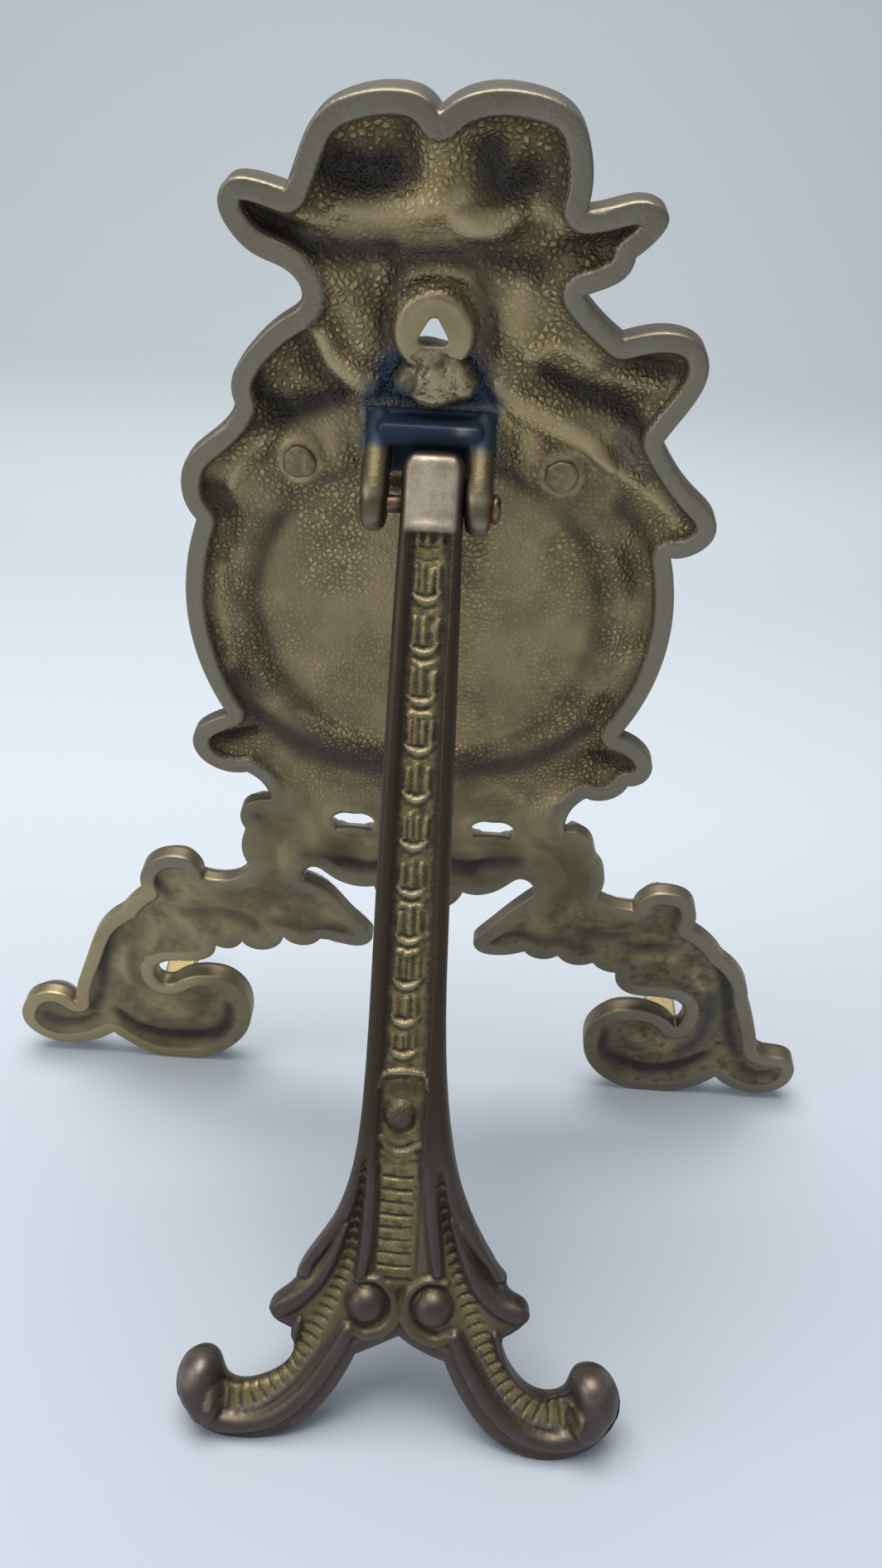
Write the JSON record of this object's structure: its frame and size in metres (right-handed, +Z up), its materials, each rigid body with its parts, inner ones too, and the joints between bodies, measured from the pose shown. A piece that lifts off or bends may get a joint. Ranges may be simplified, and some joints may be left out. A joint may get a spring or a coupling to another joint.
{
  "type": "photo album stand",
  "caption": "Cast rococo easel stand: an openwork panel on scroll legs, propped from behind by a hinged strut with hooked feet, with album rests in front.",
  "frame": {"origin": "middle of the open stand's own box, on the surface it stands on", "axes": "+Z up, the album side faces -Y, the strut stands towards +Y"},
  "size_m": [0.1604, 0.1137, 0.1807],
  "materials": {
    "cast_brass": "aged olive brown",
    "dark_brass": "dark patina, rubbed on the high spots",
    "heat_stained_brass": "blue-black heat stain",
    "peened_brass": "peened",
    "braze": "rough as cooled",
    "copper": "dull copper"
  },
  "bodies": {
    "stand": {"panel": "cast_brass", "hinge_bracket": "heat_stained_brass", "hinge_pin": "copper", "bracket_braze": "braze", "medallion_ring": "cast_brass", "ring_rivet_left": "peened_brass", "ring_rivet_right": "peened_brass", "ring_rivet_lower": "peened_brass", "rest_left": "cast_brass", "rest_right": "cast_brass"},
    "prop": {"strut": "dark_brass"}
  },
  "joints": [
    {"name": "strut_swing", "type": "hinge", "parent": "stand", "child": "prop", "pos_m": [-0.00163, 0.00731, 0.13041], "axis": [-1, 0, 0], "range_deg": [0, 31]}
  ]
}
